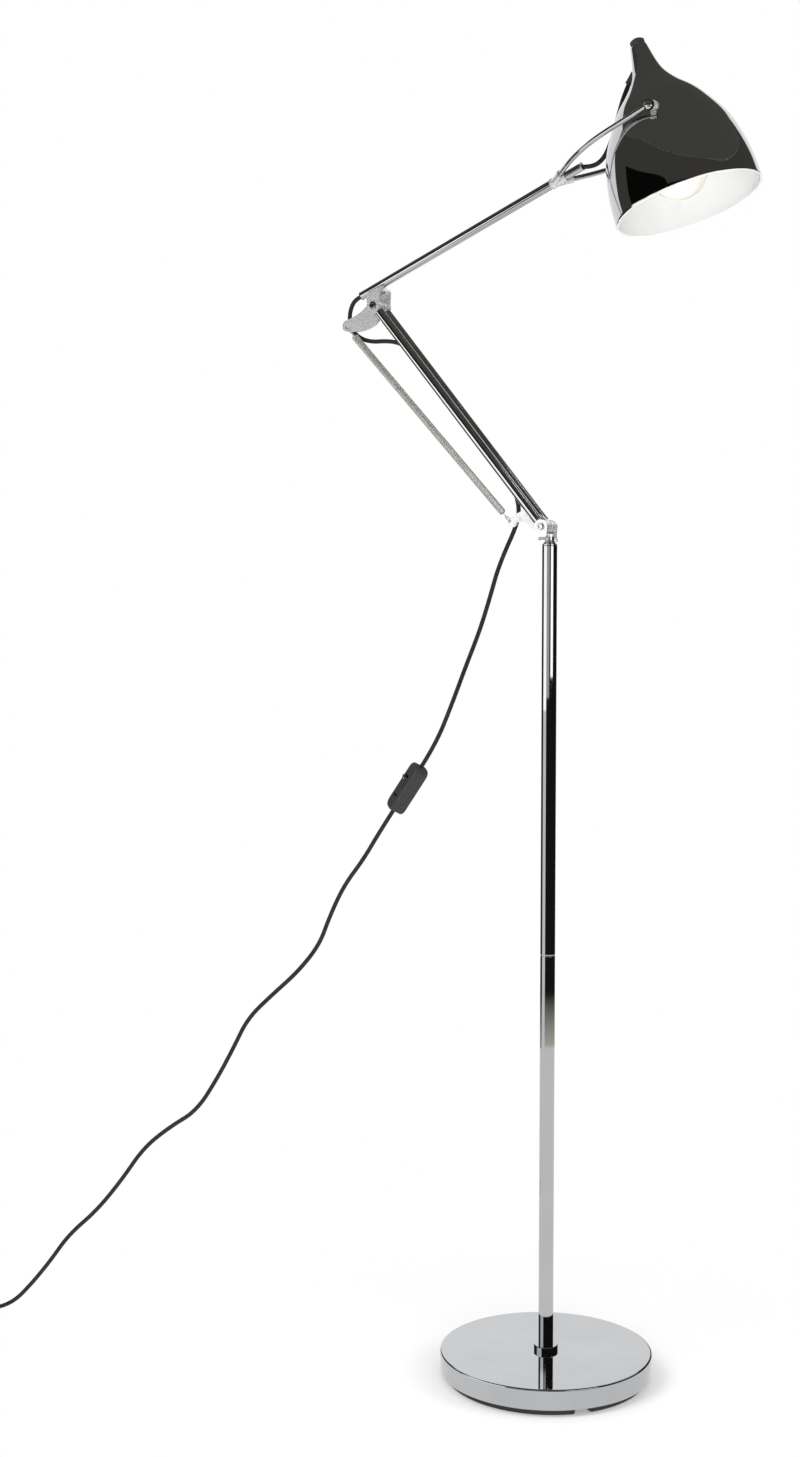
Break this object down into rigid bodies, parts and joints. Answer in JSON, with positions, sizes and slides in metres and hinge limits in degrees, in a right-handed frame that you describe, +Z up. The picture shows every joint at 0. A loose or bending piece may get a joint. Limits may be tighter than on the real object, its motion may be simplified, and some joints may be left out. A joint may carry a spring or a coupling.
{
  "type": "floor lamp",
  "caption": "Floor lamp with a round weighted base, straight pole, spring-balanced articulated arm, bell shade on a fork and a mains lead with a rocker switch.",
  "frame": {"origin": "on the floor, under the axis of the pole", "axes": "+Z up along the pole, arm in the XZ plane with the shade on the +X side, Y along the hinge pins"},
  "size_m": [1.0559, 0.3302, 1.4164],
  "materials": {
    "chrome": "mirror-bright chrome plate",
    "shade_chrome": "mirror-bright outside, matte white inside",
    "satin_metal": "satin nickel plate",
    "bright_steel": "bright zinc plate",
    "spring_steel": "bright drawn wire",
    "cast_iron": "rough cast",
    "brass": "turned",
    "black_plastic": "satin moulded",
    "pale_nylon": "moulded",
    "black_rubber": "matte",
    "black_cable": "satin jacket",
    "opal_glass": "opal, satin"
  },
  "bodies": {
    "root": {"base_cover": "chrome", "base_weight": "cast_iron", "base_underside": "black_plastic", "base_feet": "black_rubber", "base_bolt": "bright_steel", "base_collar": "chrome", "pole_foot_plug": "bright_steel", "pole_lower": "chrome", "pole_coupler": "bright_steel", "pole_upper": "chrome", "pole_neck": "chrome", "swivel_bush": "brass", "switch_base": "black_plastic", "switch_cover": "black_plastic", "cord_drop_upper": "black_cable", "cord_drop_lower": "black_cable", "cord_coil": "black_cable", "coil_tie": "black_rubber", "cord_tail": "black_cable", "plug_strain_relief": "black_rubber", "plug_body": "black_plastic", "plug_pins": "bright_steel"},
    "head": {"head_bracket": "satin_metal", "swivel_screw": "bright_steel", "foot_pivot_bolt": "bright_steel", "foot_pivot_nut": "bright_steel"},
    "lower_arm": {"lower_arm_tube_near": "chrome", "lower_arm_tube_far": "chrome", "foot_knuckles": "satin_metal", "elbow_knuckles": "satin_metal", "friction_washers": "pale_nylon", "horn_lever": "satin_metal", "balance_spring": "spring_steel", "cord_in_arm": "black_cable", "cord_exit": "black_cable"},
    "spring_head": {"spring_end_plug": "spring_steel"},
    "upper_arm": {"elbow_bracket": "satin_metal", "elbow_lever": "satin_metal", "elbow_pivot_bolt": "bright_steel", "elbow_pivot_nut": "bright_steel", "saddle_screws": "bright_steel", "upper_arm_tube": "chrome", "rear_grommet": "black_plastic", "fork_socket": "satin_metal", "fork_rod_near": "chrome", "fork_rod_far": "chrome", "cord_ferrule": "chrome", "cord_in_upper_tube": "black_cable", "cord_elbow_loop": "black_cable"},
    "shade": {"shade_shell": "shade_chrome", "shade_cap": "black_plastic", "shade_nipple": "bright_steel", "shade_gland": "black_plastic", "shade_standoffs": "satin_metal", "shade_pivot_screws": "bright_steel", "lamp_holder": "black_plastic", "bulb_screw_cap": "bright_steel", "bulb_globe": "opal_glass", "cord_shade_loop": "black_cable"},
    "switch_rocker": {"switch_rocker": "black_plastic"}
  },
  "joints": [
    {"name": "head_swivel", "type": "hinge", "parent": "root", "child": "head", "pos_m": [0, 0, 0.911], "axis": [0, 0, 1], "range_deg": [-90, 90], "deforming": ["cord_drop_upper"]},
    {"name": "lower_arm_tilt", "type": "hinge", "parent": "head", "child": "lower_arm", "pos_m": [-0.0045, 0, 0.9215], "axis": [0, 1, 0], "range_deg": [-25, 60], "deforming": ["cord_exit"]},
    {"name": "elbow_tilt", "type": "hinge", "parent": "lower_arm", "child": "upper_arm", "pos_m": [-0.21019, 0, 1.16663], "axis": [0, 1, 0], "range_deg": [-30, 30], "deforming": ["cord_elbow_loop"]},
    {"name": "shade_tilt", "type": "hinge", "parent": "upper_arm", "child": "shade", "pos_m": [0.13734, 0, 1.33112], "axis": [0, 1, 0], "range_deg": [-50, 8], "deforming": ["cord_shade_loop"]},
    {"name": "spring_stretch", "type": "slide", "parent": "lower_arm", "child": "spring_head", "axis": [-0.6011, 0, 0.7992], "range_m": [-0.022, 0.022], "deforming": ["balance_spring"]},
    {"name": "rocker_press", "type": "hinge", "parent": "root", "child": "switch_rocker", "pos_m": [-0.16201, -0.02704, 0.63933], "axis": [0.6439, -0.7057, -0.2957], "range_deg": [-14, 0]}
  ],
  "couplings": [
    {"joint": "spring_stretch", "follows": "elbow_tilt", "m_per_rad": 0.0419}
  ]
}
